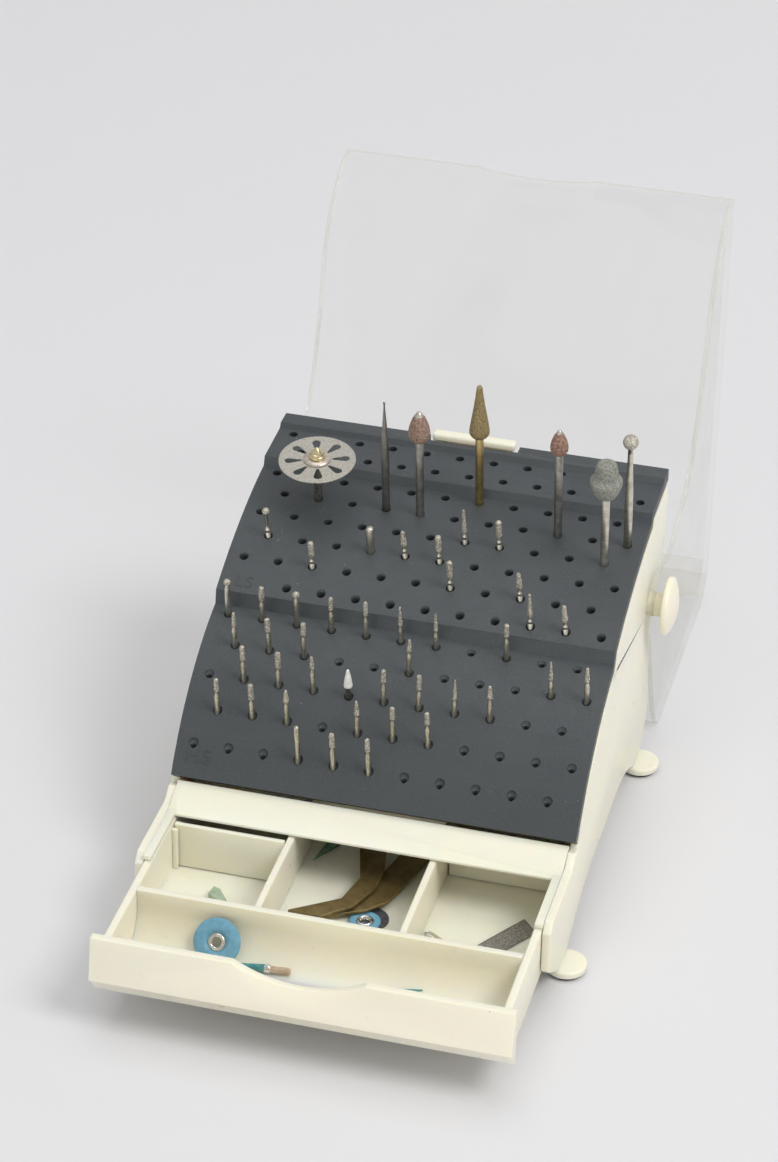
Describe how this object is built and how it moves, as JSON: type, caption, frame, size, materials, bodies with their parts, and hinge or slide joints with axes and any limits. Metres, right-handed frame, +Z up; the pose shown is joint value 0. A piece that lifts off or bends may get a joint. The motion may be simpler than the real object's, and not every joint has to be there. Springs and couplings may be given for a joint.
{
  "type": "rotary bur stand",
  "caption": "Desk stand for dental or hobby rotary burs: a stepped, drilled bur plate on a cream housing with a flip-up clear lid and a sectioned drawer of small accessories.",
  "frame": {"origin": "centre of the bounding box in X and Y at rest, on the table under the foot pads", "axes": "+X to the stand's right seen from the drawer side, +Y from the drawer to the open lid, +Z up"},
  "size_m": [0.132, 0.2588, 0.1375],
  "materials": {
    "cream_plastic": "glossy injection moulded",
    "grey_plate": "fine sandy texture",
    "clear_plastic": "clear, faintly yellow at the edges",
    "black_rubber": "soft",
    "steel": "polished shanks",
    "diamond_grit": "plated grit",
    "brass": "turned",
    "pink_washer": "pressed fibre",
    "white_stone": "bonded abrasive",
    "brown_stone": "bonded abrasive",
    "gold_cone": "plated",
    "pink_stone": "bonded abrasive",
    "green_stone": "bonded abrasive",
    "blue_disc": "coated abrasive",
    "dark_disc": "coated abrasive",
    "bronze_tweezer": "dark bronze",
    "teal_plastic": "moulded",
    "pale_green": "soft rubber",
    "dark_green": "silicone",
    "grey_strip": "grit coated strip"
  },
  "bodies": {
    "housing": {"side_wall_left": "cream_plastic", "side_wall_right": "cream_plastic", "front_fascia": "cream_plastic", "back_wall": "cream_plastic", "rear_catch": "cream_plastic", "housing_floor": "cream_plastic", "pivot_button_left": "cream_plastic", "pivot_button_right": "cream_plastic", "feet": "cream_plastic", "foot_pads": "black_rubber"},
    "lid": {"lid": "clear_plastic"},
    "drawer": {"drawer_tray": "cream_plastic", "drawer_front": "cream_plastic", "cross_divider": "cream_plastic", "bay_divider_left": "cream_plastic", "bay_divider_right": "cream_plastic", "bay_panel_right": "cream_plastic", "panel_guides": "cream_plastic", "polishing_disc_front": "blue_disc", "disc_eyelets": "steel", "polishing_disc_bay": "blue_disc", "dark_disc_bay": "dark_disc", "brush_handle": "teal_plastic", "brush_tuft": "pale_green", "teal_probe": "teal_plastic", "pale_point": "pale_green", "green_point": "dark_green", "tweezer_arm_upper": "bronze_tweezer", "tweezer_arm_lower": "bronze_tweezer", "wire_clip": "steel", "abrasive_strip": "grey_strip"},
    "bay_panel": {"bay_panel_left": "cream_plastic"},
    "bur_tray": {"bur_plate": "grey_plate", "socket_block": "grey_plate", "fine_cylinder_burs": "diamond_grit", "fine_taper_burs": "diamond_grit", "fine_needle_burs": "diamond_grit", "fine_round_burs": "diamond_grit", "fine_flame_burs": "white_stone", "fine_stub_burs": "diamond_grit", "low_cylinder_burs": "diamond_grit", "low_taper_burs": "diamond_grit", "low_needle_burs": "diamond_grit", "low_round_burs": "diamond_grit", "low_stub_burs": "diamond_grit"},
    "disc_tool": {"disc_mandrel": "steel", "diamond_disc": "diamond_grit", "disc_washer": "pink_washer", "disc_screw": "brass"},
    "needle_tool": {"long_needle": "steel"},
    "brown_stone_tool": {"brown_stone_shank": "steel", "brown_stone": "brown_stone"},
    "cone_stone_tool": {"cone_stone_shank": "brass", "cone_stone": "gold_cone"},
    "flame_stone_tool": {"flame_stone_shank": "steel", "flame_stone": "pink_stone"},
    "barrel_stone_tool": {"barrel_stone_shank": "steel", "barrel_stone": "green_stone"},
    "ball_bur_tool": {"ball_bur": "steel"}
  },
  "joints": [
    {"name": "lid_hinge", "type": "hinge", "parent": "housing", "child": "lid", "pos_m": [0, 0.03385, 0.054], "axis": [-1, 0, 0], "range_deg": [-146, 0]},
    {"name": "drawer_slide", "type": "slide", "parent": "housing", "child": "drawer", "axis": [0, -1, 0], "range_m": [-0.0358, 0.025]},
    {"name": "tray_lift", "type": "slide", "parent": "housing", "child": "bur_tray", "axis": [0, 0, 1], "range_m": [0, 0.05]},
    {"name": "bay_panel_lift", "type": "slide", "parent": "drawer", "child": "bay_panel", "axis": [0, 0, 1], "range_m": [0, 0.016]},
    {"name": "disc_lift", "type": "slide", "parent": "bur_tray", "child": "disc_tool", "axis": [0, -0.1132, 0.9936], "range_m": [0, 0.03]},
    {"name": "needle_lift", "type": "slide", "parent": "bur_tray", "child": "needle_tool", "axis": [0, -0.1132, 0.9936], "range_m": [0, 0.03]},
    {"name": "brown_stone_lift", "type": "slide", "parent": "bur_tray", "child": "brown_stone_tool", "axis": [0, -0.1132, 0.9936], "range_m": [0, 0.03]},
    {"name": "cone_stone_lift", "type": "slide", "parent": "bur_tray", "child": "cone_stone_tool", "axis": [0, -0.1132, 0.9936], "range_m": [0, 0.03]},
    {"name": "flame_stone_lift", "type": "slide", "parent": "bur_tray", "child": "flame_stone_tool", "axis": [0, -0.1132, 0.9936], "range_m": [0, 0.03]},
    {"name": "barrel_stone_lift", "type": "slide", "parent": "bur_tray", "child": "barrel_stone_tool", "axis": [0, -0.1132, 0.9936], "range_m": [0, 0.03]},
    {"name": "ball_bur_lift", "type": "slide", "parent": "bur_tray", "child": "ball_bur_tool", "axis": [0, -0.1132, 0.9936], "range_m": [0, 0.03]}
  ]
}
